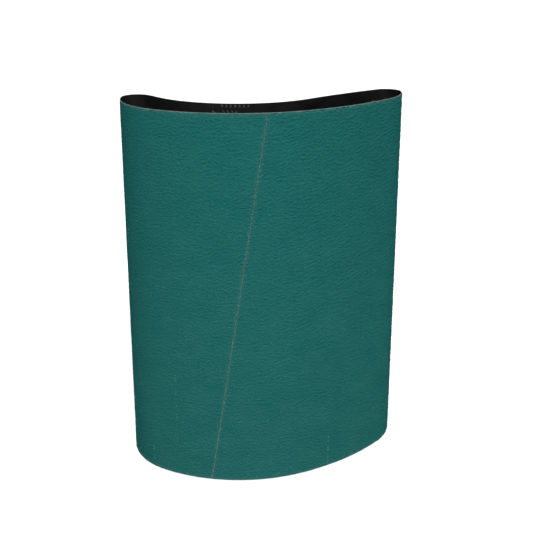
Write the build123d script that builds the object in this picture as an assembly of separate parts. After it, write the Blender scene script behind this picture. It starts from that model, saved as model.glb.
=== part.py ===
from build123d import *
import math
import os

import numpy as np

os.makedirs("parts", exist_ok=True)

# An endless abrasive belt for a wide-belt sander, standing slack on one cut edge.
# Millimetres and degrees. +Z runs across the belt's width, from the edge it stands on to the top edge.
# The origin is in the middle of the loop's footprint, on the ground. The splice faces -Y.

# Driving dimensions of the belt
BELT_WIDTH = 635.0              # 25 in, cut edge to cut edge
BELT_LENGTH = 1219.2            # 48 in, once round the inner running surface
EDGE_CHIP = 0.6                 # bare cloth that the slitting knife leaves along each cut edge

# Layers of the coated abrasive, from the running surface outward
BACK_COAT = 0.10
BACKING_CLOTH = 0.52
MAKE_COAT = 0.12
ABRASIVE_GRAIN = 0.28
SIZE_COAT = 0.12

# The slanted butt splice
SPLICE_TOP_X = 8.4              # where the butt gap meets the top edge
SPLICE_BOTTOM_X = -87.4         # and the bottom edge
SPLICE_GAP = 0.6
TAPE_WIDTH = 25.0
TAPE_ADHESIVE = 0.05
TAPE_FILM = 0.10
SPLICE_INNER_Y = -60.0          # between the front wall and the back wall
SPLICE_OUTER_Y = -160.0         # in front of the front wall

# Run-direction arrowheads printed on the inner face of the back wall, in rows that point along +X
ARROW_INK = 0.05
ARROW_PITCH = 7.0
ARROW_STROKE = 2.2
ARROW_ROWS = (                  # first x, middle height, arrowhead height, how many
    (-67.0, BELT_WIDTH - 3.6, 5.0, 7),
    (-65.0, BELT_WIDTH - 15.0, 8.0, 4),
)
ARROW_OUTER_Y = 60.0            # behind the back wall
ARROW_INNER_Y = -60.0           # between the front wall and the back wall

# Outline of the slack loop on the running surface: tangent arcs, anticlockwise seen from above.
# A negative turn is the hollow in the back wall. Radii marked None close the loop at BELT_LENGTH.
START_HEADING = -93.5
ARCS = (                        # turn, radius
    (62, 124.0),                # left shoulder
    (57, None),                 # front wall
    (26, 409.0),                # front wall, right of the middle
    (39, 111.0),                # right shoulder
    (124, 24.0),                # right end, folded tight
    (9, None),                  # back wall, right
    (-96, None),                # hollow of the back wall
    (11, 119.0),                # back wall, left
    (128, 24.0),                # left end, folded tight
)


def chord(heading, turn):
    """Displacement along an arc of unit radius that starts at this heading, in radians."""
    ahead = math.sin(heading + turn) - math.sin(heading)
    aside = math.cos(heading) - math.cos(heading + turn)
    return ahead, aside


def closed_arcs():
    """Heading, turn and radius of each arc, with the open radii solved so that the loop closes."""
    turns = [math.radians(turn) for turn, radius in ARCS]
    headings = [math.radians(START_HEADING) + sum(turns[:i]) for i in range(len(turns))]
    effects = np.array([(*chord(h, t), t) for h, t in zip(headings, turns)]).T
    radii = np.array([radius or 0.0 for turn, radius in ARCS])
    open_arcs = [i for i, (turn, radius) in enumerate(ARCS) if radius is None]
    missing = np.array([0.0, 0.0, BELT_LENGTH]) - effects @ radii
    radii[open_arcs] = np.linalg.solve(effects[:, open_arcs], missing)
    return list(zip(headings, turns, radii))


LOOP = closed_arcs()


def loop_face(outward):
    """Face inside the loop, with its edge this far outward from the running surface."""
    x = outward * math.sin(LOOP[0][0])
    y = -outward * math.cos(LOOP[0][0])
    edges = []
    for heading, turn, radius in LOOP:
        reach = radius + outward
        half = chord(heading, turn / 2)
        whole = chord(heading, turn)
        middle = (x + reach * half[0], y + reach * half[1])
        end = (x + reach * whole[0], y + reach * whole[1])
        edges.append(ThreePointArc((x, y), middle, end))
        x, y = end
    return make_face(edges)


BELT_THICKNESS = BACK_COAT + BACKING_CLOTH + MAKE_COAT + ABRASIVE_GRAIN + SIZE_COAT
FOOTPRINT_CENTRE = loop_face(BELT_THICKNESS).bounding_box().center()


def wall(inner, outer, edge_margin):
    """Upright wall that follows the loop between two offsets, short of each cut edge by a margin."""
    ring = loop_face(outer) - loop_face(inner)
    upright = extrude(ring, BELT_WIDTH - 2 * edge_margin)
    return Pos(-FOOTPRINT_CENTRE.X, -FOOTPRINT_CENTRE.Y, edge_margin) * upright


def splice_slab(width):
    """Slanted slab through the front wall, centred on the butt gap."""
    lean = math.hypot(BELT_WIDTH, SPLICE_TOP_X - SPLICE_BOTTOM_X) / BELT_WIDTH
    half = width * lean / 2
    corners = [
        (SPLICE_BOTTOM_X - half, 0),
        (SPLICE_BOTTOM_X + half, 0),
        (SPLICE_TOP_X + half, BELT_WIDTH),
        (SPLICE_TOP_X - half, BELT_WIDTH),
    ]
    profile = Plane.XZ * make_face(Polyline(*corners, close=True))
    slab = extrude(profile, SPLICE_INNER_Y - SPLICE_OUTER_Y)
    return Pos(0, SPLICE_INNER_Y, 0) * slab


def arrow_prism(tail_x, middle_z, height):
    """Prism of one arrowhead that points along +X, deep enough to pass through the back wall."""
    half = height / 2
    reach = height / 3
    outline = [
        (tail_x, middle_z - half),
        (tail_x + ARROW_STROKE, middle_z - half),
        (tail_x + ARROW_STROKE + reach, middle_z),
        (tail_x + ARROW_STROKE, middle_z + half),
        (tail_x, middle_z + half),
        (tail_x + reach, middle_z),
    ]
    profile = Plane.XZ * make_face(Polyline(*outline, close=True))
    return Pos(0, ARROW_OUTER_Y, 0) * extrude(profile, ARROW_OUTER_Y - ARROW_INNER_Y)


def layers():
    """The belt's bonded layers: one strip each, cut through at the splice."""
    stack = (
        ("back_coat", BACK_COAT, EDGE_CHIP),
        ("backing_cloth", BACKING_CLOTH, 0.0),
        ("make_coat", MAKE_COAT, EDGE_CHIP),
        ("abrasive_grain", ABRASIVE_GRAIN, EDGE_CHIP),
        ("size_coat", SIZE_COAT, EDGE_CHIP),
    )
    strips = {}
    inner = 0.0
    for name, thickness, edge_margin in stack:
        outer = inner + thickness
        strips[name] = wall(inner, outer, edge_margin) - splice_slab(SPLICE_GAP)
        inner = outer
    return strips


def splice():
    """What holds the two ends together: filler in the gap, and film tape glued inside."""
    filler_top = BACK_COAT + BACKING_CLOTH + MAKE_COAT
    tape_slab = splice_slab(TAPE_WIDTH)
    return {
        "seam_filler": wall(0.0, filler_top, EDGE_CHIP) & splice_slab(SPLICE_GAP),
        "splice_adhesive": wall(-TAPE_ADHESIVE, 0.0, EDGE_CHIP) & tape_slab,
        "splice_tape": wall(-TAPE_ADHESIVE - TAPE_FILM, -TAPE_ADHESIVE, EDGE_CHIP) & tape_slab,
    }


def run_arrows():
    """Printed ink on the inner face: separate arrowheads in one node."""
    ink = wall(-ARROW_INK, 0.0, EDGE_CHIP)
    heads = []
    for first_x, middle_z, height, count in ARROW_ROWS:
        for i in range(count):
            heads.append(ink & arrow_prism(first_x + i * ARROW_PITCH, middle_z, height))
    return Compound(heads)


nodes = {**layers(), **splice(), "run_arrows": run_arrows()}
for node, shape in nodes.items():
    export_step(shape, f"parts/{node}.step")
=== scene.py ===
import math

import bpy
import numpy as np
from mathutils import Euler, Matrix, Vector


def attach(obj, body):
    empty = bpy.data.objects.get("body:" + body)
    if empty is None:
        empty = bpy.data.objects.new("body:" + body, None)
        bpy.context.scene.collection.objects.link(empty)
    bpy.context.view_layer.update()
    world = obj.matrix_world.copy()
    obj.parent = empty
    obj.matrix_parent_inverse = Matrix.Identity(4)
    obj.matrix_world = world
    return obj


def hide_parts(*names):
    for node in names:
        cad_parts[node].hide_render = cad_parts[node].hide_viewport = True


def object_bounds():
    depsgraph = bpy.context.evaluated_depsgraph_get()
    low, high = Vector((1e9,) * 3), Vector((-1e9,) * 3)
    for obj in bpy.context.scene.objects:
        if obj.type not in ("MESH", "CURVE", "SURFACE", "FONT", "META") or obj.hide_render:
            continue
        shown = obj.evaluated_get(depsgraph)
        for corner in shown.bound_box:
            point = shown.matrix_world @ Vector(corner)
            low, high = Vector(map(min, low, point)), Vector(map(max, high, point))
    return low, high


# An endless sanding belt that stands slack on one cut edge. Metres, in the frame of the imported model.
# A place on the belt is (along, height, outward): along the running surface, anticlockwise seen from
# above; up from the edge it stands on; and out from the running surface.

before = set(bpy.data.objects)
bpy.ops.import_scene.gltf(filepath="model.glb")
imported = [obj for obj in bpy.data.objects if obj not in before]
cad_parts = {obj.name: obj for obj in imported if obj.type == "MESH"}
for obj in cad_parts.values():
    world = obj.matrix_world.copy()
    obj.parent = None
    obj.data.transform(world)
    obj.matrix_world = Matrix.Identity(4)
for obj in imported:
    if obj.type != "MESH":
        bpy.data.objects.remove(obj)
cad_low, cad_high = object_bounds()

MM = 0.001
BELT_WIDTH = cad_high.z - cad_low.z
BELT_LENGTH = 1219.2 * MM
EDGE_CHIP = 0.6 * MM

# Each bonded layer's inner and outer face, out from the running surface. The grain bed holds only the
# grains' feet: their tops lie in the relief of the size coat.
BACK_COAT = (0.0, 0.10 * MM)
BACKING_CLOTH = (0.10 * MM, 0.62 * MM)
MAKE_COAT = (0.62 * MM, 0.74 * MM)
ABRASIVE_GRAIN = (0.74 * MM, 0.80 * MM)
SIZE_COAT = (0.80 * MM, 1.14 * MM)

# The slanted butt splice in the front wall
SPLICE_TOP_X = 8.4 * MM
SPLICE_BOTTOM_X = -87.4 * MM
SPLICE_GAP = 0.6 * MM
TAPE_WIDTH = 25.0 * MM
TAPE_ADHESIVE = (-0.05 * MM, 0.0)
TAPE_FILM = (-0.15 * MM, -0.05 * MM)

# Run-direction arrowheads on the inner face of the back wall
ARROW_INK = 0.05 * MM
ARROW_PITCH = 7.0 * MM
ARROW_STROKE = 2.2 * MM
ARROW_ROWS = (                  # first x, middle depth below the top edge, arrowhead height, how many
    (-67.0 * MM, 3.6 * MM, 5.0 * MM, 7),
    (-65.0 * MM, 15.0 * MM, 8.0 * MM, 4),
)

# Outline of the slack loop on the running surface: tangent arcs, as turn in degrees and radius.
# Radii marked None close the loop at BELT_LENGTH.
START_HEADING = math.radians(-93.5)
ARCS = (
    (62, 124.0 * MM),
    (57, None),
    (26, 409.0 * MM),
    (39, 111.0 * MM),
    (124, 24.0 * MM),
    (9, None),
    (-96, None),
    (11, 119.0 * MM),
    (128, 24.0 * MM),
)
FRONT_ARC = 1                   # the arc that the splice crosses
RIGHT_FOLD = 4
HOLLOW_ARC = 6                  # the hollow of the back wall, which carries the print
LEFT_FOLD = 8


# ---- The loop ----

def chord(heading, turn):
    """Displacement along an arc of unit radius that starts at this heading."""
    ahead = math.sin(heading + turn) - math.sin(heading)
    aside = math.cos(heading) - math.cos(heading + turn)
    return ahead, aside


def closed_arcs():
    """Start point, heading, radius and start distance of each arc, with the open radii solved."""
    turns = np.radians([turn for turn, radius in ARCS])
    headings = START_HEADING + np.concatenate([[0.0], np.cumsum(turns)[:-1]])
    effects = np.array([(*chord(h, t), t) for h, t in zip(headings, turns)]).T
    radii = np.array([radius or 0.0 for turn, radius in ARCS])
    open_arcs = [i for i, (turn, radius) in enumerate(ARCS) if radius is None]
    missing = np.array([0.0, 0.0, BELT_LENGTH]) - effects @ radii
    radii[open_arcs] = np.linalg.solve(effects[:, open_arcs], missing)
    steps = effects * radii
    starts = np.cumsum(steps, axis=1) - steps
    return starts[:2].T, headings, radii, starts[2]


ARC_POINT, ARC_HEADING, ARC_RADIUS, ARC_ALONG = closed_arcs()


def loop_heading(along):
    """Arc index and heading at each distance along the loop."""
    wrapped = np.mod(along, BELT_LENGTH)
    arc = np.searchsorted(ARC_ALONG, wrapped, side="right") - 1
    return arc, ARC_HEADING[arc] + (wrapped - ARC_ALONG[arc]) / ARC_RADIUS[arc]


def loop_xy(along, outward):
    """x and y on the loop, before it is centred on the footprint."""
    arc, heading = loop_heading(along)
    radius = ARC_RADIUS[arc]
    x = ARC_POINT[arc, 0] + radius * (np.sin(heading) - np.sin(ARC_HEADING[arc]))
    y = ARC_POINT[arc, 1] + radius * (np.cos(ARC_HEADING[arc]) - np.cos(heading))
    return x + outward * np.sin(heading), y - outward * np.cos(heading)


def footprint_centre():
    """Middle of the belt's outer outline."""
    x, y = loop_xy(np.linspace(0.0, BELT_LENGTH, 20001), SIZE_COAT[1])
    return (x.min() + x.max()) / 2, (y.min() + y.max()) / 2


CENTRE_X, CENTRE_Y = footprint_centre()


def belt_points(along, height, outward):
    """Points in the frame for places on the belt, as an array that ends in x, y, z."""
    along, height, outward = np.broadcast_arrays(along, height, outward)
    x, y = loop_xy(along, outward)
    return np.stack([x - CENTRE_X, y - CENTRE_Y, cad_low.z + height], axis=-1)


def along_at_x(arc, x, outward):
    """Distance along the loop where this arc crosses an upright plane of constant x."""
    first = ARC_HEADING[arc]
    centre = ARC_POINT[arc, 0] - CENTRE_X - ARC_RADIUS[arc] * math.sin(first)
    sine = (x - centre) / (ARC_RADIUS[arc] + outward)
    if ARC_RADIUS[arc] > 0:
        heading = np.arcsin(sine)
    else:
        heading = math.pi - np.arcsin(sine)
    return ARC_ALONG[arc] + (heading - first) * ARC_RADIUS[arc]


def along_at_front_x(x, outward, step):
    """Distance along the loop, to the nearest step, where the front wall passes this x."""
    along = np.arange(0.0, ARC_ALONG[RIGHT_FOLD], step)
    place = loop_xy(along, outward)[0] - CENTRE_X
    return along[np.argmin(np.abs(place - x))]


def splice_along(height, outward=BACKING_CLOTH[1]):
    """Distance along the loop of the butt gap's middle at each height."""
    x = SPLICE_BOTTOM_X + (SPLICE_TOP_X - SPLICE_BOTTOM_X) * height / BELT_WIDTH
    return along_at_x(FRONT_ARC, x, outward)


# ---- Random fields over the belt ----

FIELD_CELL = 1.0 * MM
FIELD_COLUMNS = round(BELT_LENGTH / FIELD_CELL)
FIELD_SPARE_ROWS = 40           # above the top edge, because the field wraps round
FIELD_ROWS = round(BELT_WIDTH / FIELD_CELL) + FIELD_SPARE_ROWS


def belt_field(seed, gain):
    """Random relief of unit deviation over the belt. gain says how strong each wave number is."""
    white = np.random.default_rng(seed).standard_normal((FIELD_ROWS, FIELD_COLUMNS))
    waves_up = np.abs(np.fft.fftfreq(FIELD_ROWS, FIELD_CELL))[:, None]
    waves_along = np.abs(np.fft.fftfreq(FIELD_COLUMNS, FIELD_CELL))[None, :]
    field = np.fft.ifft2(np.fft.fft2(white) * gain(waves_up, waves_along)).real
    return (field - field.mean()) / field.std()


def read_field(field, along, height):
    """The field's value at places on the belt, between its cells."""
    column = np.mod(along / FIELD_CELL, FIELD_COLUMNS)
    row = np.clip(height / FIELD_CELL, 0, FIELD_ROWS - 2)
    left = np.floor(column).astype(int) % FIELD_COLUMNS
    right = (left + 1) % FIELD_COLUMNS
    low = np.floor(row).astype(int)
    across = column - np.floor(column)
    up = row - low
    below = field[low, left] * (1 - across) + field[low, right] * across
    above = field[low + 1, left] * (1 - across) + field[low + 1, right] * across
    return below * (1 - up) + above * up


RIPPLE_PITCH = 5.9 * MM         # from crest to crest, up the belt
RIPPLE_RUN = 6.5 * MM           # how far a crest runs along the belt before it wanders off
RIPPLE_HEIGHT = 0.49 * MM
RIPPLE_BANDWIDTH = 0.45         # spread of the pitch, as a share of its wave number
COARSEST_ALONG = 560.0 * MM     # where the grain lies more unevenly than elsewhere
COARSER_THERE = 0.50            # by this share of its mean height, and as much less on the other side
COARSER_LOW, COARSER_HIGH = 0.87, 1.09      # share of the height at the bottom and the top edge
SWELL_SIZE = 45.0 * MM
SWELL_HEIGHT = 0.06 * MM
RELIEF_RISE = 0.16 * MM
RELIEF_RANGE = (-0.32 * MM, 1.40 * MM)


def ripple_gain(waves_up, waves_along):
    """Crests that lie along the belt, a pitch apart, and wander and break."""
    up = np.exp(-0.5 * ((waves_up * RIPPLE_PITCH - 1) / RIPPLE_BANDWIDTH) ** 2)
    return up * (1 + (waves_along * RIPPLE_RUN) ** 2) ** -0.75


def swell_gain(waves_up, waves_along):
    """Broad soft unevenness."""
    return np.exp(-0.5 * (waves_up ** 2 + waves_along ** 2) * SWELL_SIZE ** 2)


RIPPLE = belt_field(11, ripple_gain)
SWELL = belt_field(12, swell_gain)


def grain_relief(along, height):
    """How far the grain side stands out from its mean face."""
    coarser_right = 1.0 + COARSER_THERE * np.cos(2 * math.pi * (along - COARSEST_ALONG) / BELT_LENGTH)
    coarser_up = COARSER_LOW + (COARSER_HIGH - COARSER_LOW) * height / BELT_WIDTH
    ripple = RELIEF_RISE + RIPPLE_HEIGHT * read_field(RIPPLE, along, height)
    swell = SWELL_HEIGHT * read_field(SWELL, along, height)
    return np.clip(coarser_right * coarser_up * ripple + swell, *RELIEF_RANGE)


def ragged(seed, cell, low, high):
    """A margin that wanders between two values along the belt, with one curve for each cut edge."""
    count = round(BELT_LENGTH / cell)
    curves = np.random.default_rng(seed).random((2, count + 1))

    def margin(along, edge):
        place = np.mod(along, BELT_LENGTH) / BELT_LENGTH * count
        return low + (high - low) * np.interp(place, np.arange(count + 1), curves[edge])

    return margin


# ---- Mesh helpers ----

def add_mesh(name, points, faces, uv=None, normals=None, crease=40):
    """A mesh piece. uv holds each point's place on the belt in metres, for the materials."""
    mesh = bpy.data.meshes.new(name)
    mesh.from_pydata(np.asarray(points).reshape(-1, 3).tolist(), [], faces)
    if uv is not None:
        corner = np.zeros(len(mesh.loops), np.int32)
        mesh.loops.foreach_get("vertex_index", corner)
        layer = mesh.uv_layers.new(name="belt")
        layer.data.foreach_set("uv", np.asarray(uv).reshape(-1, 2)[corner].astype(np.float32).ravel())
    mesh.shade_smooth()
    if normals is None:
        mesh.set_sharp_from_angle(angle=math.radians(crease))
    else:
        mesh.normals_split_custom_set_from_vertices(normals.reshape(-1, 3).tolist())
    mesh.validate()
    piece = bpy.data.objects.new(name, mesh)
    bpy.context.scene.collection.objects.link(piece)
    return piece


def add_values(piece, name, values):
    """Gives each point of a piece's outer grid a value, for its material. The other points get 0."""
    padded = np.zeros(len(piece.data.vertices), np.float32)
    padded[:values.size] = values.ravel()
    piece.data.attributes.new(name, "FLOAT", "POINT").data.foreach_set("value", padded)


def grid_faces(first, rows, columns, flip=False):
    """Quads of a grid whose points are numbered from first, row by row."""
    corner = first + (np.arange(rows - 1)[:, None] * columns + np.arange(columns - 1)[None, :]).ravel()
    quads = np.stack([corner, corner + 1, corner + columns + 1, corner + columns], axis=1)
    if flip:
        quads = quads[:, ::-1]
    return quads.tolist()


def closed_faces(first, outer_rows, inner_rows, columns):
    """Faces of a closed strip between an outer and an inner grid with the same columns."""
    inner = first + outer_rows * columns
    faces = grid_faces(first, outer_rows, columns) + grid_faces(inner, inner_rows, columns, flip=True)
    outer_top = first + (outer_rows - 1) * columns
    inner_top = inner + (inner_rows - 1) * columns
    for c in range(columns - 1):
        faces.append((outer_top + c, outer_top + c + 1, inner_top + c + 1, inner_top + c))
        faces.append((first + c + 1, first + c, inner + c, inner + c + 1))
    for c in (0, columns - 1):
        outer_side = [first + r * columns + c for r in range(outer_rows)]
        inner_side = [inner + r * columns + c for r in reversed(range(inner_rows))]
        side = outer_side + inner_side
        faces.append(side[::-1] if c == 0 else side)
    return faces


def strip_piece(name, grids, normals=None):
    """A mesh of closed strips. Each grid pair is ((outer points, places), (inner points, places))."""
    points, places, faces = [], [], []
    first = 0
    for (outer, outer_uv), (inner, inner_uv) in grids:
        faces += closed_faces(first, len(outer), len(inner), outer.shape[1])
        for grid, uv in ((outer, outer_uv), (inner, inner_uv)):
            points.append(grid.reshape(-1, 3))
            places.append(uv.reshape(-1, 2))
            first += grid.shape[0] * grid.shape[1]
    return add_mesh(name, np.concatenate(points), faces, np.concatenate(places), normals)


def grid_at(along, height, outward):
    """Points and belt places of a grid."""
    along, height, outward = np.broadcast_arrays(along, height, outward)
    return belt_points(along, height, outward), np.stack([along, height], axis=-1)


LEAN_REACH = 200.0 * MM         # how far from the splice the columns go on leaning with it
LEAN_ROWS = 25                  # enough for a leaning column to follow the curve of the wall


def strip_along(share, heights, outward):
    """Distance along the loop of each row's columns: slanted beside the splice, upright elsewhere."""
    middle = splice_along(BELT_WIDTH / 2, outward)
    lean = (splice_along(heights, outward) - middle)[:, None]
    run = BELT_LENGTH - SPLICE_GAP
    near = np.clip(1.0 - np.minimum(share, 1.0 - share) * run / LEAN_REACH, 0.0, 1.0)[None, :]
    follow = near * near * (3 - 2 * near)
    return middle + SPLICE_GAP / 2 + share[None, :] * run + lean * follow


def layer_face(share, heights, outward, margin, relief=None):
    """One face of a layer, as a grid. margin says how far it stops short of each cut edge."""
    along = strip_along(share, heights, outward)
    height = np.repeat(heights[:, None], len(share), axis=1)
    if margin is not None:
        low, high = margin(along[0], 0), margin(along[-1], 1)
        height = low + height / BELT_WIDTH * (BELT_WIDTH - low - high)
    if relief is not None:
        outward = outward + relief(along, height)
    return grid_at(along, height, outward)


def layer_strip(name, faces, margin=None):
    """One bonded layer as a closed strip from one side of the butt gap round to the other."""
    share = np.linspace(0.0, 1.0, EDGE_COLUMNS)
    heights = np.linspace(0.0, BELT_WIDTH, LEAN_ROWS)
    outer = layer_face(share, heights, faces[1], margin)
    inner = layer_face(share, heights, faces[0], margin)
    return strip_piece(name, [(outer, inner)])


# ---- Materials ----

def new_material(name):
    """A material, its node tree and its shader."""
    material = bpy.data.materials.new(name)
    material.use_nodes = True
    return material, material.node_tree, material.node_tree.nodes["Principled BSDF"]


def node(tree, kind, values=None, **settings):
    """A node with its settings, and its inputs set to numbers or linked to sockets."""
    made = tree.nodes.new(kind)
    for key, value in settings.items():
        setattr(made, key, value)
    for key, value in (values or {}).items():
        if isinstance(value, bpy.types.NodeSocket):
            tree.links.new(value, made.inputs[key])
        else:
            made.inputs[key].default_value = value
    return made


def maths(tree, operation, a, b=0.0):
    """Output of one maths node."""
    return node(tree, "ShaderNodeMath", {0: a, 1: b}, operation=operation).outputs[0]


def belt_mm(tree, along=1.0, up=1.0):
    """Place on the belt in millimetres, divided by a length in each direction."""
    uv = node(tree, "ShaderNodeUVMap", uv_map="belt")
    scale = (1 / MM / along, 1 / MM / up, 1.0)
    return node(tree, "ShaderNodeMapping", {"Vector": uv.outputs[0], "Scale": scale}).outputs[0]


def noise(tree, vector, scale=1.0, detail=2.0, roughness=0.5, distortion=0.0):
    """Height of a noise texture, about 0.5."""
    values = {"Vector": vector, "Scale": scale, "Detail": detail, "Roughness": roughness,
              "Distortion": distortion}
    return node(tree, "ShaderNodeTexNoise", values).outputs[0]


def mix_colour(tree, factor, a, b):
    """Colour between a and b."""
    mixer = node(tree, "ShaderNodeMix", data_type="RGBA", clamp_factor=True)
    for index, value in ((0, factor), (6, a), (7, b)):
        if isinstance(value, bpy.types.NodeSocket):
            tree.links.new(value, mixer.inputs[index])
        else:
            mixer.inputs[index].default_value = value
    return mixer.outputs[2]


def window(tree, value, low, high):
    """0 at low, 1 at high, and a ramp between them."""
    values = {"Value": value, "From Min": low, "From Max": high}
    return node(tree, "ShaderNodeMapRange", values, clamp=True).outputs[0]


def spread(tree, value, low, high):
    """Noise height turned into a value from low to high."""
    values = {"Value": value, "From Min": 0.3, "From Max": 0.7, "To Min": low, "To Max": high}
    return node(tree, "ShaderNodeMapRange", values, clamp=True).outputs[0]


def bump(tree, height, distance, strength=1.0, below=None):
    """Normal of a relief this deep, laid over another bump."""
    values = {"Height": height, "Distance": distance, "Strength": strength}
    if below is not None:
        values["Normal"] = below
    return node(tree, "ShaderNodeBump", values).outputs[0]


# The size coat's tone runs between these two: the paler, greyer end is a painted highlight for the
# crests, the darker end painted shade for the troughs.
GREEN_PAINTED_HIGHLIGHT = (0.0150, 0.0965, 0.0885, 1)
GREEN_PAINTED_SHADE = (0.0000, 0.0455, 0.0432, 1)
GREEN_WORN = (0.0480, 0.1050, 0.0980, 1)
PALE_LOW_TINT = (0.230, 0.170, 0.130, 1)
SPLICE_DUST = (0.240, 0.230, 0.180, 1)
WEAR_REACH = 14.0               # from each cut edge, in millimetres
LOW_TINT_REACH = 600.0          # up from the edge it stands on, in millimetres
SPLICE_DUST_REACH = 6.5         # from the butt gap, in millimetres


def crest_highlight_and_patch_tone(tree, ripple, fine, patches):
    """How light the size coat is: painted highlight on the crests of the mesh and of each finer relief,
    painted shade in their troughs, and a little random tone in broad patches.
    """
    mesh_crest = node(tree, "ShaderNodeAttribute", attribute_name="crest").outputs["Fac"]
    reliefs = (                 # height, where it is darkest and lightest, share of the tone
        (mesh_crest, -2.0, 2.5, 0.35),
        (ripple, 0.30, 0.70, 0.35),
        (fine, 0.30, 0.70, 0.30),
        (patches, 0.35, 0.75, 0.12),
    )
    tone = 0.0
    for height, darkest, lightest, share in reliefs:
        part = maths(tree, "MULTIPLY", window(tree, height, darkest, lightest), share)
        tone = maths(tree, "ADD", tone, part)
    return tone


def worn_dusty_tinted_colour(tree, colour, fine, patches):
    """The size coat's colour with worn cut edges, with dust beside the splice, and with a faint pale
    warm tint that grows towards the bottom.
    """
    up = node(tree, "ShaderNodeSeparateXYZ", {0: belt_mm(tree)}).outputs[1]
    depth = maths(tree, "MINIMUM", up, maths(tree, "SUBTRACT", BELT_WIDTH / MM, up))
    beside = node(tree, "ShaderNodeAttribute", attribute_name="beside_splice").outputs["Fac"]
    uneven = window(tree, fine, 0.2, 0.7)
    soft_uneven = window(tree, patches, 0.2, 0.7)
    changes = (                 # distance, reach, how fast it fades, unevenness, strength, colour
        (depth, WEAR_REACH, 3.0, uneven, 0.45, GREEN_WORN),
        # A faint pale warm tint, strongest at the bottom edge and fading upwards.
        (up, LOW_TINT_REACH, 1.0, soft_uneven, 0.016, PALE_LOW_TINT),
        (beside, SPLICE_DUST_REACH, 1.5, uneven, 0.050, SPLICE_DUST),
    )
    for distance, reach, fade, unevenness, strength, new_colour in changes:
        cover = maths(tree, "POWER", window(tree, distance, reach, 0.0), fade)
        cover = maths(tree, "MULTIPLY", cover, unevenness)
        colour = mix_colour(tree, maths(tree, "MULTIPLY", cover, strength), colour, new_colour)
    return colour


def grain_side_material():
    """Blue-green size coat over rippled grain, with painted highlights on the crests and painted shade
    in the troughs.
    """
    material, tree, shader = new_material("size_coat_green")
    ripple = noise(tree, belt_mm(tree, 3.8, 2.2), detail=2.5, roughness=0.6, distortion=0.3)
    patches = noise(tree, belt_mm(tree, 60.0, 42.0), detail=3.0, roughness=0.6)
    fine = noise(tree, belt_mm(tree, 1.7, 1.4), detail=3.0, roughness=0.6)
    grain = node(tree, "ShaderNodeTexVoronoi", {"Vector": belt_mm(tree, 0.55, 0.5), "Randomness": 1.0})
    # Painted highlight on the crests and painted shade in the troughs, with a little random tone in
    # broad patches.
    colour = mix_colour(tree, crest_highlight_and_patch_tone(tree, ripple, fine, patches), GREEN_PAINTED_SHADE, GREEN_PAINTED_HIGHLIGHT)
    colour = worn_dusty_tinted_colour(tree, colour, fine, patches)
    tree.links.new(colour, shader.inputs["Base Color"])
    tree.links.new(spread(tree, fine, 0.60, 0.80), shader.inputs["Roughness"])
    # No specular: the crests' grey highlight is painted into the base colour instead.
    shader.inputs["Specular IOR Level"].default_value = 0.0
    normal = bump(tree, grain.outputs["Distance"], 0.16 * MM, 0.5)
    normal = bump(tree, fine, 0.95 * MM, 0.9, normal)
    normal = bump(tree, ripple, 1.65 * MM, 1.0, normal)
    tree.links.new(normal, shader.inputs["Normal"])
    return material


def grain_bed_material(name, deep, pale):
    """Crushed grain in resin, as it shows where the coat has chipped away."""
    material, tree, shader = new_material(name)
    grain = node(tree, "ShaderNodeTexVoronoi", {"Vector": belt_mm(tree, 0.5, 0.5)})
    tint = node(tree, "ShaderNodeSeparateColor", {0: grain.outputs["Color"]}).outputs[1]
    tree.links.new(mix_colour(tree, tint, deep, pale), shader.inputs["Base Color"])
    shader.inputs["Roughness"].default_value = 0.7
    tree.links.new(bump(tree, grain.outputs["Distance"], 0.2 * MM), shader.inputs["Normal"])
    return material


def crystal_material(name, deep, pale):
    """Single grains, some broken and paler than others."""
    material, tree, shader = new_material(name)
    place = node(tree, "ShaderNodeTexCoord").outputs["Object"]
    tone = noise(tree, place, scale=900.0, detail=1.0)
    colour = mix_colour(tree, window(tree, tone, 0.42, 0.62), deep, pale)
    tree.links.new(colour, shader.inputs["Base Color"])
    shader.inputs["Roughness"].default_value = 0.45
    tree.links.new(bump(tree, tone, 0.1 * MM, 0.5), shader.inputs["Normal"])
    return material


YARN_ALONG = 0.62               # pitch of the cloth's yarns, in millimetres
YARN_UP = 0.78


def weave(tree):
    """Height of a plain weave: yarns that cross over and under each other."""
    place = node(tree, "ShaderNodeSeparateXYZ", {0: belt_mm(tree, YARN_ALONG, YARN_UP)})
    along = maths(tree, "SINE", maths(tree, "MULTIPLY", place.outputs[0], math.pi))
    up = maths(tree, "SINE", maths(tree, "MULTIPLY", place.outputs[1], math.pi))
    warp_on_top = window(tree, maths(tree, "MULTIPLY", along, up), -0.25, 0.25)
    weft_on_top = maths(tree, "SUBTRACT", 1.0, warp_on_top)
    warp = maths(tree, "MULTIPLY", maths(tree, "ABSOLUTE", along), warp_on_top)
    weft = maths(tree, "MULTIPLY", maths(tree, "ABSOLUTE", up), weft_on_top)
    return maths(tree, "ADD", warp, weft)


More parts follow.
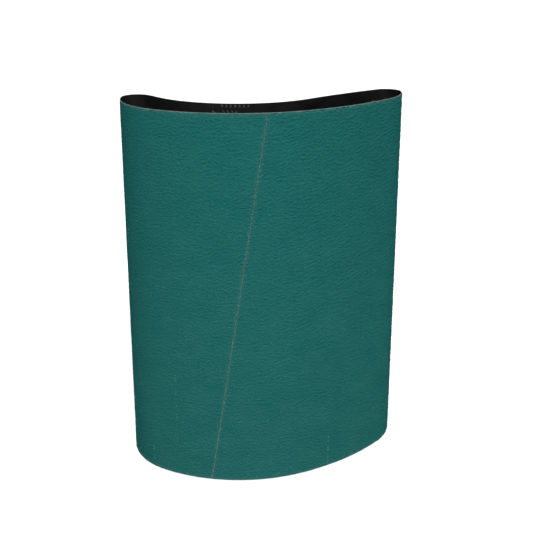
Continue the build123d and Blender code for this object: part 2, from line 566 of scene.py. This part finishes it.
def running_side_material():
    """Black antistatic coat that lets the weave of the cloth show, with faint grey handling marks."""
    material, tree, shader = new_material("back_coat_black")
    black = (0.0008, 0.0008, 0.0009, 1)
    marked = (0.0074, 0.0072, 0.0073, 1)
    worn_yarn = (0.018, 0.0174, 0.0168, 1)
    cloth = weave(tree)
    marks = noise(tree, belt_mm(tree, 90.0, 60.0), detail=6.0, roughness=0.75, distortion=0.6)
    fluff = noise(tree, belt_mm(tree, 1.6, 0.9), detail=3.0, roughness=0.65)
    colour = mix_colour(tree, window(tree, marks, 0.42, 0.72), black, marked)
    worn = maths(tree, "MULTIPLY", window(tree, cloth, 0.6, 1.0), window(tree, fluff, 0.5, 0.8))
    colour = mix_colour(tree, maths(tree, "MULTIPLY", worn, 0.5), colour, worn_yarn)
    tree.links.new(colour, shader.inputs["Base Color"])
    tree.links.new(spread(tree, fluff, 0.55, 0.8), shader.inputs["Roughness"])
    shader.inputs["Specular IOR Level"].default_value = 0.12
    normal = bump(tree, cloth, 0.08 * MM, 0.8)
    tree.links.new(bump(tree, fluff, 0.1 * MM, 0.4, normal), shader.inputs["Normal"])
    return material


def cloth_material():
    """The cut cloth: pale warm grey yarn ends, darker where resin has soaked in."""
    material, tree, shader = new_material("backing_cloth_grey")
    soaked = (0.050, 0.0465, 0.043, 1)
    dry = (0.141, 0.133, 0.124, 1)
    yarn_crown = (0.240, 0.225, 0.205, 1)
    yarns = weave(tree)
    soak = noise(tree, belt_mm(tree, 3.0, 1.0), detail=3.0, roughness=0.65)
    colour = mix_colour(tree, window(tree, soak, 0.38, 0.62), soaked, dry)
    colour = mix_colour(tree, maths(tree, "MULTIPLY", yarns, 0.2), colour, yarn_crown)
    tree.links.new(colour, shader.inputs["Base Color"])
    shader.inputs["Roughness"].default_value = 0.9
    shader.inputs["Specular IOR Level"].default_value = 0.2
    normal = bump(tree, yarns, 0.12 * MM)
    tree.links.new(bump(tree, soak, 0.15 * MM, 0.6, normal), shader.inputs["Normal"])
    return material


def filler_material():
    """Cured adhesive in the butt gap, with cloth dust rubbed into it."""
    material, tree, shader = new_material("seam_filler_mauve")
    deep = (0.074, 0.046, 0.054, 1)
    pale = (0.150, 0.096, 0.112, 1)
    cloth_dust = (0.35, 0.28, 0.29, 1)
    tone = noise(tree, belt_mm(tree, 0.9, 0.9), detail=2.0, roughness=0.6)
    dust = noise(tree, belt_mm(tree, 0.6, 1.2), detail=2.0)
    colour = mix_colour(tree, window(tree, tone, 0.42, 0.58), deep, pale)
    dusty = maths(tree, "MULTIPLY", window(tree, dust, 0.5, 0.8), 0.4)
    colour = mix_colour(tree, dusty, colour, cloth_dust)
    tree.links.new(colour, shader.inputs["Base Color"])
    shader.inputs["Roughness"].default_value = 0.65
    tree.links.new(bump(tree, dust, 0.15 * MM), shader.inputs["Normal"])
    return material


def tape_material():
    """Reinforced film: fine threads run along the belt, across the slanted joint."""
    material, tree, shader = new_material("splice_tape_film")
    film = (0.020, 0.019, 0.018, 1)
    scuffed = (0.050, 0.048, 0.045, 1)
    thread_crown = (0.075, 0.070, 0.062, 1)
    up = node(tree, "ShaderNodeSeparateXYZ", {0: belt_mm(tree, 1.0, 0.9)}).outputs[1]
    thread = maths(tree, "ABSOLUTE", maths(tree, "SINE", maths(tree, "MULTIPLY", up, math.pi)))
    scuff = noise(tree, belt_mm(tree, 14.0, 3.0), detail=4.0, roughness=0.6)
    colour = mix_colour(tree, window(tree, scuff, 0.4, 0.75), film, scuffed)
    colour = mix_colour(tree, maths(tree, "MULTIPLY", thread, 0.35), colour, thread_crown)
    tree.links.new(colour, shader.inputs["Base Color"])
    tree.links.new(spread(tree, scuff, 0.3, 0.5), shader.inputs["Roughness"])
    tree.links.new(bump(tree, thread, 0.05 * MM), shader.inputs["Normal"])
    return material


def adhesive_material():
    """Amber squeeze-out along the tape's edges."""
    material, tree, shader = new_material("splice_adhesive_amber")
    deep = (0.05, 0.035, 0.018, 1)
    pale = (0.12, 0.085, 0.04, 1)
    tone = noise(tree, belt_mm(tree, 5.0, 5.0), detail=2.0)
    tree.links.new(mix_colour(tree, tone, deep, pale), shader.inputs["Base Color"])
    shader.inputs["Roughness"].default_value = 0.35
    tree.links.new(bump(tree, tone, 0.1 * MM, 0.4), shader.inputs["Normal"])
    return material


def ink_material():
    """Thin grey print that the weave and the drums have worn."""
    material, tree, shader = new_material("run_arrow_ink")
    rubbed_off = (0.004, 0.004, 0.005, 1)
    ink = (0.048, 0.046, 0.058, 1)
    wear = noise(tree, belt_mm(tree, 14.0, 5.0), detail=4.0, roughness=0.7)
    cloth = weave(tree)
    cover = window(tree, maths(tree, "ADD", wear, maths(tree, "MULTIPLY", cloth, 0.15)), 0.48, 0.74)
    colour = mix_colour(tree, cover, rubbed_off, ink)
    tree.links.new(colour, shader.inputs["Base Color"])
    shader.inputs["Roughness"].default_value = 0.7
    tree.links.new(bump(tree, cloth, 0.05 * MM), shader.inputs["Normal"])
    return material


def finish_piece(piece, material, slot, *nodes):
    """Gives a piece its material and hides the CAD nodes that it stands for. slot is not used."""
    piece.data.materials.append(material)
    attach(piece, "root")
    if nodes:
        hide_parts(*nodes)
    return piece


# ---- The bonded layers ----

SKIN_ROWS = 508
EDGE_COLUMNS = 1201


def fold_share(arc):
    """Where the middle of a folded end lies, from 0 to 1 of the strip."""
    half_turn = math.radians(ARCS[arc][0]) / 2
    middle = ARC_ALONG[arc] + half_turn * ARC_RADIUS[arc]
    return ((middle - splice_along(BELT_WIDTH / 2)) % BELT_LENGTH) / BELT_LENGTH


def panel_normals(share, heights, margin, inner_along):
    """Normals of a panel's outer face and then of its inner face.

    The outer face is taken one column further on each side, so that two panels have the same normals
    where they meet.
    """
    step = share[1] - share[0]
    wide = np.clip(np.concatenate([[share[0] - step], share, [share[-1] + step]]), 0.0, 1.0)
    around = layer_face(wide, heights, SIZE_COAT[1], margin, grain_relief)[0]
    up = np.gradient(around, axis=0)[:, 1:-1]
    ahead = around[:, 2:] - around[:, :-2]
    facing = np.cross(ahead, up)
    facing /= np.linalg.norm(facing, axis=-1, keepdims=True)
    _, heading = loop_heading(inner_along)
    inside = np.stack([-np.sin(heading), np.cos(heading), np.zeros_like(heading)], axis=-1)
    return np.concatenate([facing.reshape(-1, 3), inside.reshape(-1, 3)])


def mark_panel(piece, along, height):
    """Tells the panel's material where the crests are, for their painted highlight, and how many
    millimetres off the splice is.
    """
    add_values(piece, "crest", read_field(RIPPLE, along, height))
    past_splice = along - splice_along(height)
    beside_splice = np.minimum(np.abs(past_splice), np.abs(past_splice - BELT_LENGTH))
    add_values(piece, "beside_splice", beside_splice / MM)


def grain_skin():
    """The size coat as three panels that meet at the folded ends, with ripples in the mesh itself."""
    right, left = fold_share(RIGHT_FOLD), fold_share(LEFT_FOLD)
    panels = (                  # name, from, to, columns
        ("size_coat_front_right", 0.0, right, 187),
        ("size_coat_back", right, left, 187),
        ("size_coat_front_left", left, 1.0, 124),
    )
    heights = np.linspace(0.0, BELT_WIDTH, SKIN_ROWS)
    inner_heights = np.linspace(0.0, BELT_WIDTH, LEAN_ROWS)
    margin = ragged(21, 2.6 * MM, 0.7 * MM, 1.5 * MM)
    material = grain_side_material()
    for name, start, end, columns in panels:
        share = np.linspace(start, end, columns)
        outer = layer_face(share, heights, SIZE_COAT[1], margin, grain_relief)
        inner = layer_face(share, inner_heights, SIZE_COAT[0], margin)
        normals = panel_normals(share, heights, margin, inner[1][..., 0])
        piece = strip_piece(name, [(outer, inner)], normals)
        mark_panel(piece, outer[1][..., 0], outer[1][..., 1])
        finish_piece(piece, material, "size_coat", "size_coat")


def bonded_layers():
    """The layers under the size coat. Returns the cloth."""
    bed = layer_strip("abrasive_grain_bed", ABRASIVE_GRAIN, ragged(22, 1.1 * MM, 0.20 * MM, 0.55 * MM))
    grains = grain_bed_material("grain_bed", (0.02, 0.08, 0.075, 1), (0.08, 0.18, 0.17, 1))
    finish_piece(bed, grains, "abrasive_grain", "abrasive_grain")
    make = layer_strip("make_coat_resin", MAKE_COAT, ragged(23, 0.9 * MM, 0.02 * MM, 0.30 * MM))
    resin = grain_bed_material("make_resin", (0.03, 0.05, 0.045, 1), (0.06, 0.09, 0.08, 1))
    finish_piece(make, resin, "make_coat", "make_coat")
    black = layer_strip("back_coat_face", BACK_COAT, ragged(24, 1.6 * MM, 0.02 * MM, 0.3 * MM))
    finish_piece(black, running_side_material(), "back_coat", "back_coat")
    cloth = layer_strip("backing_cloth_strip", BACKING_CLOTH)
    return finish_piece(cloth, cloth_material(), "backing_cloth", "backing_cloth")


# ---- The splice ----

SPLICE_LEAN = math.hypot(BELT_WIDTH, SPLICE_TOP_X - SPLICE_BOTTOM_X) / BELT_WIDTH


def wander(seed, count, low, high, smooth=0):
    """Random values from low to high, one for each row, each averaged with the next few."""
    values = np.random.default_rng(seed).random(count + smooth)
    values = np.convolve(values, np.ones(smooth + 1) / (smooth + 1), mode="valid")
    values = (values - values.min()) / (values.max() - values.min())
    return low + (high - low) * values


FILLER_ROWS = 509
FILLER_WANDER = 0.12 * MM       # how far the bead strays from the middle of the gap
FILLER_HALF_WIDTH = (0.12 * MM, 0.32 * MM)
FILLER_CROWN = (1.10 * MM, 1.45 * MM)       # out from the running surface
TAPE_ROWS = 512
TAPE_COLUMNS = 13
TAPE_ROUGHNESS = 0.06 * MM      # of its edges
ADHESIVE_ROUGHNESS = 0.35 * MM
ADHESIVE_SQUEEZE = 0.4 * MM     # how far it comes out on each side of the tape


def filler_bead():
    """The uneven bead that fills the butt gap and stands a little proud of the grain."""
    heights = np.linspace(EDGE_CHIP, BELT_WIDTH - EDGE_CHIP, FILLER_ROWS)[:, None]
    middle = splice_along(heights) + wander(31, FILLER_ROWS, -FILLER_WANDER, FILLER_WANDER, 6)[:, None]
    half = wander(32, FILLER_ROWS, *FILLER_HALF_WIDTH)[:, None]
    crown = wander(33, FILLER_ROWS, *FILLER_CROWN)[:, None]
    across = np.array([-1.0, -0.6, 0.0, 0.6, 1.0])
    rise = np.array([0.0, 0.8, 1.0, 0.8, 0.0])
    foot = MAKE_COAT[1]
    outer = grid_at(middle + half * across, heights, foot + (crown - foot) * rise)
    inner = grid_at(splice_along(heights) + SPLICE_GAP / 2 * across, heights, 0.0)
    bead = strip_piece("seam_filler_bead", [(outer, inner)])
    finish_piece(bead, filler_material(), "seam_filler", "seam_filler")


def taped_strip(name, faces, half_width, seeds, roughness, material, slot):
    """A strip on the running side that follows the splice, with slightly ragged edges."""
    heights = np.linspace(EDGE_CHIP, BELT_WIDTH - EDGE_CHIP, TAPE_ROWS)[:, None]
    left = half_width * SPLICE_LEAN + wander(seeds[0], TAPE_ROWS, -roughness, roughness, 4)[:, None]
    right = half_width * SPLICE_LEAN + wander(seeds[1], TAPE_ROWS, -roughness, roughness, 4)[:, None]
    share = np.linspace(0.0, 1.0, TAPE_COLUMNS)

    def face(outward):
        return grid_at(splice_along(heights, outward) - left + (left + right) * share, heights, outward)

    piece = strip_piece(name, [(face(faces[1]), face(faces[0]))])
    finish_piece(piece, material, slot, slot)


def splice():
    """What holds the belt's two ends together."""
    filler_bead()
    taped_strip("splice_adhesive_film", TAPE_ADHESIVE, TAPE_WIDTH / 2 + ADHESIVE_SQUEEZE, (34, 35),
                ADHESIVE_ROUGHNESS, adhesive_material(), "splice_adhesive")
    taped_strip("splice_tape_strip", TAPE_FILM, TAPE_WIDTH / 2, (36, 37),
                TAPE_ROUGHNESS, tape_material(), "splice_tape")


def run_arrows():
    """Rows of plain arrowheads, in ink with slightly rough edges."""
    random = np.random.default_rng(41)
    across = np.linspace(0.0, 1.0, 5)[None, :]
    up = np.linspace(-1.0, 1.0, 33)[:, None]
    heads = []
    for first_x, depth, height, count in ARROW_ROWS:
        for i in range(count):
            tail = first_x + i * ARROW_PITCH + height / 3 * (1 - np.abs(up))
            x = tail + ARROW_STROKE * across + random.normal(0.0, 0.08 * MM, (len(up), across.size))
            z = BELT_WIDTH - depth + height / 2 * up
            back = grid_at(along_at_x(HOLLOW_ARC, x, 0.0)[:, ::-1], z, 0.0)
            front = grid_at(along_at_x(HOLLOW_ARC, x, -ARROW_INK)[:, ::-1], z, -ARROW_INK)
            heads.append((back, front))
    piece = strip_piece("run_arrow_print", heads)
    finish_piece(piece, ink_material(), "run_arrows", "run_arrows")


# ---- Loose grains and fibres ----

OCTAHEDRON = ((0, 2, 4), (2, 1, 4), (1, 3, 4), (3, 0, 4), (2, 0, 5), (1, 2, 5), (3, 1, 5), (0, 3, 5))


def turned(random, count):
    """Random rotation matrices."""
    q = random.standard_normal((count, 4))
    w, x, y, z = (q / np.linalg.norm(q, axis=1, keepdims=True)).T
    rows = (
        (1 - 2 * (y * y + z * z), 2 * (x * y - z * w), 2 * (x * z + y * w)),
        (2 * (x * y + z * w), 1 - 2 * (x * x + z * z), 2 * (y * z - x * w)),
        (2 * (x * z - y * w), 2 * (y * z + x * w), 1 - 2 * (x * x + y * y)),
    )
    return np.stack([np.stack(row, axis=-1) for row in rows], axis=1)


def crystals(name, seed, along, height, outward, sizes, material):
    """Angular grains at places on the belt, kept above the ground."""
    random = np.random.default_rng(seed)
    count = len(along)
    size = random.uniform(*sizes, count)
    axes = np.array([(1, 0, 0), (-1, 0, 0), (0, 1, 0), (0, -1, 0), (0, 0, 1), (0, 0, -1)], float)
    reach = random.uniform(0.55, 1.25, (count, 6, 1)) * size[:, None, None] / 2
    corners = np.einsum("nij,nkj->nki", turned(random, count), axes[None] * reach)
    points = belt_points(along, height, outward)[:, None] + corners
    points[..., 2] = np.maximum(points[..., 2], cad_low.z)
    faces = (np.arange(count)[:, None, None] * 6 + np.array(OCTAHEDRON)[None]).reshape(-1, 3)
    piece = add_mesh(name, points, faces.tolist(), crease=20)
    return finish_piece(piece, material, "abrasive_grain")


EDGE_GRAINS = 4500              # along each cut edge
AT_EDGE_SHARE = 0.65            # of them lie right at the edge, and the others further in
KNIFE_REACH = 1.2 * MM          # how deep from the edge the knife has bared the grains
EDGE_GRAIN_SIZES = (0.25 * MM, 0.6 * MM)
SPLICE_GRAINS = 1300
SPLICE_GRAIN_SIZES = (0.25 * MM, 0.7 * MM)


def edge_crystals():
    """Grains that the slitting knife has bared along both cut edges and beside the splice."""
    random = np.random.default_rng(51)
    material = crystal_material("grain_crystal", (0.025, 0.095, 0.09, 1), (0.25, 0.33, 0.315, 1))
    for name, seed, is_top in (("edge_grains_top", 52, True), ("edge_grains_bottom", 53, False)):
        at_edge = random.random(EDGE_GRAINS) < AT_EDGE_SHARE
        near = random.uniform(0.25, 1.5, EDGE_GRAINS)
        further = 1.2 + random.exponential(2.0, EDGE_GRAINS)
        depth = np.where(at_edge, near, further) * MM
        along = random.uniform(0.0, BELT_LENGTH, EDGE_GRAINS)
        height = BELT_WIDTH - depth if is_top else depth
        bared = random.uniform(0.66, 1.10, EDGE_GRAINS) * MM
        outward = np.where(depth < KNIFE_REACH, bared, SIZE_COAT[1] + grain_relief(along, height))
        crystals(name, seed, along, height, outward, EDGE_GRAIN_SIZES, material)
    height = random.uniform(3.0 * MM, BELT_WIDTH - 3.0 * MM, SPLICE_GRAINS)
    side = np.where(random.random(SPLICE_GRAINS) < 0.5, -1.0, 1.0)
    along = splice_along(height) + side * random.uniform(0.25, 1.0, SPLICE_GRAINS) * MM
    outward = random.uniform(0.80, 1.15, SPLICE_GRAINS) * MM
    crystals("splice_grains", 54, along, height, outward, SPLICE_GRAIN_SIZES, material)


SCUFF_LINES = (                 # x on the front wall, lowest and highest place, how many grains
    (-147.0 * MM, 48.0 * MM, 190.0 * MM, 60),
    (-191.0 * MM, 5.0 * MM, 42.0 * MM, 26),
    (114.0 * MM, 4.0 * MM, 58.0 * MM, 60),
)

SCUFF_SPREAD = 0.35 * MM
LOOSE_GRAINS = 2600
LOW_BIAS = 2.0                  # 1 would spread them evenly from bottom to top
GRAINS_BESIDE_SPLICE = 850
SPREAD_BESIDE_SPLICE = 2.0 * MM
BROKEN_GRAIN_SIZES = (0.30 * MM, 0.85 * MM)
CLEAR_EDGE = 4.0 * MM           # no loose grain lies closer to a cut edge


def dust_crystals():
    """Broken grains: everywhere but more of them low down, beside the splice, and in short rows."""
    random = np.random.default_rng(61)
    material = crystal_material("grain_broken", (0.105, 0.215, 0.200, 1), (0.30, 0.46, 0.42, 1))
    clear_width = BELT_WIDTH - 2 * CLEAR_EDGE
    along = [random.uniform(0.0, BELT_LENGTH, LOOSE_GRAINS)]
    height = [CLEAR_EDGE + clear_width * random.random(LOOSE_GRAINS) ** LOW_BIAS]
    beside = CLEAR_EDGE + clear_width * random.random(GRAINS_BESIDE_SPLICE)
    off_splice = random.laplace(0.0, SPREAD_BESIDE_SPLICE, GRAINS_BESIDE_SPLICE)
    along.append(splice_along(beside) + off_splice)
    height.append(beside)
    for x, low, high, count in SCUFF_LINES:
        line = along_at_front_x(x, SIZE_COAT[1], 0.5 * MM)
        along.append(line + random.normal(0.0, SCUFF_SPREAD, count))
        height.append(random.uniform(low, high, count))
    along = np.concatenate(along)
    height = np.concatenate(height)
    outward = SIZE_COAT[1] + grain_relief(along, height) + 0.02 * MM
    crystals("broken_grains", 62, along, height, outward, BROKEN_GRAIN_SIZES, material)


def fibre_material():
    """Pale polyester filaments."""
    material, tree, shader = new_material("cloth_fibre")
    dull = (0.15, 0.142, 0.13, 1)
    bright = (0.34, 0.325, 0.30, 1)
    place = node(tree, "ShaderNodeTexCoord").outputs["Object"]
    tone = noise(tree, place, scale=700.0, detail=1.0)
    colour = mix_colour(tree, window(tree, tone, 0.4, 0.6), dull, bright)
    tree.links.new(colour, shader.inputs["Base Color"])
    shader.inputs["Roughness"].default_value = 0.6
    shader.inputs["Sheen Weight"].default_value = 0.3
    return material


TUBE_SIDES = 5
TUBE_TAPER = 0.45               # the radius at the end, as a share of the radius at the root
OFF_AXIS = (0.31, -0.85, 0.42)  # any direction that no filament follows


def tube_points(path, radius):
    """Points of a tube round a path, ring by ring."""
    turn = np.linspace(0.0, 2 * math.pi, TUBE_SIDES, endpoint=False)[:, None]
    ahead = np.gradient(path, axis=0)
    ahead /= np.linalg.norm(ahead, axis=1, keepdims=True)
    side = np.cross(ahead, OFF_AXIS)
    side /= np.linalg.norm(side, axis=1, keepdims=True)
    other = np.cross(ahead, side)
    thickness = radius * np.linspace(1.0, TUBE_TAPER, len(path))[:, None, None]
    ring = np.cos(turn) * side[:, None] + np.sin(turn) * other[:, None]
    return (path[:, None] + thickness * ring).reshape(-1, 3)


def tube_faces(first, rings):
    """Faces of a tube with closed ends, whose points are numbered from first."""
    faces = []
    for r in range(rings - 1):
        low = first + r * TUBE_SIDES
        high = low + TUBE_SIDES
        for s in range(TUBE_SIDES):
            t = (s + 1) % TUBE_SIDES
            faces.append((low + s, low + t, high + t, high + s))
    last = first + (rings - 1) * TUBE_SIDES
    faces.append([first + s for s in reversed(range(TUBE_SIDES))])
    faces.append([last + s for s in range(TUBE_SIDES)])
    return faces


def tubes(name, paths, radii, material):
    """Fine filaments as one mesh: each path is a row of points, tapered to its end."""
    points, faces = [], []
    first = 0
    for path, radius in zip(paths, radii):
        points.append(tube_points(path, radius))
        faces += tube_faces(first, len(path))
        first += len(path) * TUBE_SIDES
    piece = add_mesh(name, np.concatenate(points), faces, crease=60)
    return finish_piece(piece, material, "backing_cloth")


EDGE_FIBRES = (                 # name, height of the roots, how steeply they rise, how many
    ("edge_fibres_top", BELT_WIDTH - 0.1 * MM, 0.8, 700),
    ("edge_fibres_bottom", 0.15 * MM, 0.15, 400),
)
SHORT_FIBRE = (0.25, 0.9)       # lengths in millimetres
LONG_FIBRE = (0.9, 2.4)
SHORT_SHARE = 0.93


def edge_fibres(material):
    """Short cut filaments that stand out of both cut edges of the cloth."""
    random = np.random.default_rng(71)
    steps = np.linspace(0.0, 1.0, 5)
    for name, root, rise, count in EDGE_FIBRES:
        paths, radii = [], []
        for _ in range(count):
            along = random.uniform(0.0, BELT_LENGTH)
            outward = random.uniform(*BACKING_CLOTH)
            lengths = SHORT_FIBRE if random.random() < SHORT_SHARE else LONG_FIBRE
            length = random.uniform(*lengths) * MM
            lean = random.normal(0.0, 0.7)
            splay = random.normal(0.25, 0.8)
            curl = random.normal(0.0, 0.5)
            ahead = length * (lean * steps + curl * steps ** 2) * 0.6
            up = rise * length * (steps - 0.3 * steps ** 2)
            out = length * splay * steps * (0.6 + 0.4 * steps)
            paths.append(belt_points(along + ahead, root + up, outward + out))
            radii.append(random.uniform(0.025, 0.07) * MM)
        tubes(name, paths, radii, material)


YARN_ROOT_X = -71.0 * MM
YARN_TIP = (-75.7 * MM, -116.0 * MM, BELT_WIDTH + 4.1 * MM)
YARN_FILAMENTS = 7
YARN_STEPS = 26
YARN_TWIST = 7.0                # in radians, from root to tip
YARN_RADIUS = 0.072 * MM        # of each filament


def loose_yarn(material):
    """One frayed yarn of the front cut edge, twisted at its root and splayed at its tip."""
    random = np.random.default_rng(72)
    root_along = along_at_x(FRONT_ARC, YARN_ROOT_X, BACKING_CLOTH[1])
    root = belt_points(root_along, BELT_WIDTH - 0.5 * MM, sum(BACKING_CLOTH) / 2)
    steps = np.linspace(0.0, 1.0, YARN_STEPS)[:, None]
    bow = np.array([-0.9, 0.4, 0.5]) * MM
    line = root + (np.array(YARN_TIP) - root) * steps + bow * np.sin(steps * math.pi)
    paths = []
    for i in range(YARN_FILAMENTS):
        spin = i / YARN_FILAMENTS * 2 * math.pi + steps * YARN_TWIST
        circle = np.concatenate([np.cos(spin), np.sin(spin), 0.4 * np.sin(spin + 1.0)], axis=1)
        spread_out = (0.08 + 0.55 * steps ** 3 * random.uniform(0.3, 1.0)) * MM
        kept = int(YARN_STEPS * random.uniform(0.82, 1.0))
        paths.append((line + circle * spread_out)[:kept])
    tubes("loose_yarn", paths, [YARN_RADIUS] * YARN_FILAMENTS, material)


FIBRE_LOOP_X = 176.0 * MM
FIBRE_LOOP_RADIUS = 0.16 * MM
FIBRE_LOOP_STEPS = 40


def fibre_loop(material):
    """A single filament that arches out of the front edge near its right end and trails along it."""
    arch = np.array([               # along the edge and up, in millimetres
        (-2.4, -0.5), (-2.3, 0.7), (-1.5, 1.8), (-0.2, 2.2), (1.0, 1.8),
        (1.9, 0.9), (3.2, 0.5), (5.5, 0.6), (7.5, 0.4), (9.0, -0.3),
    ]) * MM
    knots = np.arange(len(arch))
    steps = np.linspace(0, len(arch) - 1, FIBRE_LOOP_STEPS)
    run = np.interp(steps, knots, arch[:, 0])
    rise = np.interp(steps, knots, arch[:, 1])
    root = along_at_front_x(FIBRE_LOOP_X, 0.0, 0.25 * MM)
    path = belt_points(root + run, BELT_WIDTH + rise, 0.3 * MM)
    tubes("fibre_loop", [path], [FIBRE_LOOP_RADIUS], material)


# ---- Stage, lights and camera ----

def floor():
    """Plain pale floor."""
    reach = 60.0
    corners = [(-reach, -reach, 0), (reach, -reach, 0), (reach, reach, 0), (-reach, reach, 0)]
    ground = add_mesh("floor", corners, [(0, 1, 2, 3)])
    material, _, shader = new_material("floor_pale")
    shader.inputs["Base Color"].default_value = (0.80, 0.80, 0.80, 1)
    shader.inputs["Roughness"].default_value = 0.9
    shader.inputs["Specular IOR Level"].default_value = 0.1
    ground.data.materials.append(material)


def sun(name, azimuth, elevation, strength, softness):
    """A soft distant light. Azimuth 0 shines from the front, 90 from the right."""
    data = bpy.data.lights.new(name, "SUN")
    data.energy = strength
    data.angle = math.radians(softness)
    light = bpy.data.objects.new(name, data)
    light.rotation_euler = (math.radians(90 - elevation), 0.0, math.radians(azimuth))
    bpy.context.scene.collection.objects.link(light)


def studio():
    """A key from above and in front, a fill from behind, and a sky.

    The sky looks white all over, but gives its light mostly from a band along the horizon.
    """
    world = bpy.data.worlds.new("studio")
    bpy.context.scene.world = world
    world.use_nodes = True
    tree = world.node_tree
    sky = tree.nodes["Background"]
    sky.inputs[0].default_value = (1.0, 1.0, 1.0, 1)
    direction = node(tree, "ShaderNodeTexCoord").outputs["Generated"]
    height = node(tree, "ShaderNodeSeparateXYZ", {0: direction}).outputs[2]
    fade = {"Value": height, "From Min": 0.09, "From Max": 0.24, "To Min": 1.0, "To Max": 0.05}
    glow = node(tree, "ShaderNodeMapRange", fade).outputs[0]
    seen_as_white = node(tree, "ShaderNodeLightPath").outputs["Is Camera Ray"]
    tree.links.new(maths(tree, "MAXIMUM", glow, seen_as_white), sky.inputs[1])
    sun("key", azimuth=7.0, elevation=44.5, strength=5.4, softness=8.0)
    sun("back_fill", azimuth=180.0, elevation=40.0, strength=1.8, softness=25.0)
    bpy.context.scene.view_settings.view_transform = "Standard"


def camera():
    """The viewing angle: a little above the belt, looking down at its bowed wall."""
    data = bpy.data.cameras.new("camera")
    data.lens = 66.7
    data.sensor_width = 36.0
    data.clip_start = 0.05
    data.clip_end = 200.0
    view = bpy.data.objects.new("camera", data)
    view.location = (0.016, -1.602, 0.907)
    view.rotation_euler = Euler((math.radians(90 - 19.2), 0.0, math.radians(0.373)))
    bpy.context.scene.collection.objects.link(view)
    bpy.context.scene.camera = view


camera()
studio()
floor()
grain_skin()
cloth = bonded_layers()
splice()
run_arrows()
edge_crystals()
dust_crystals()
fibres = fibre_material()
edge_fibres(fibres)
loose_yarn(fibres)
fibre_loop(fibres)
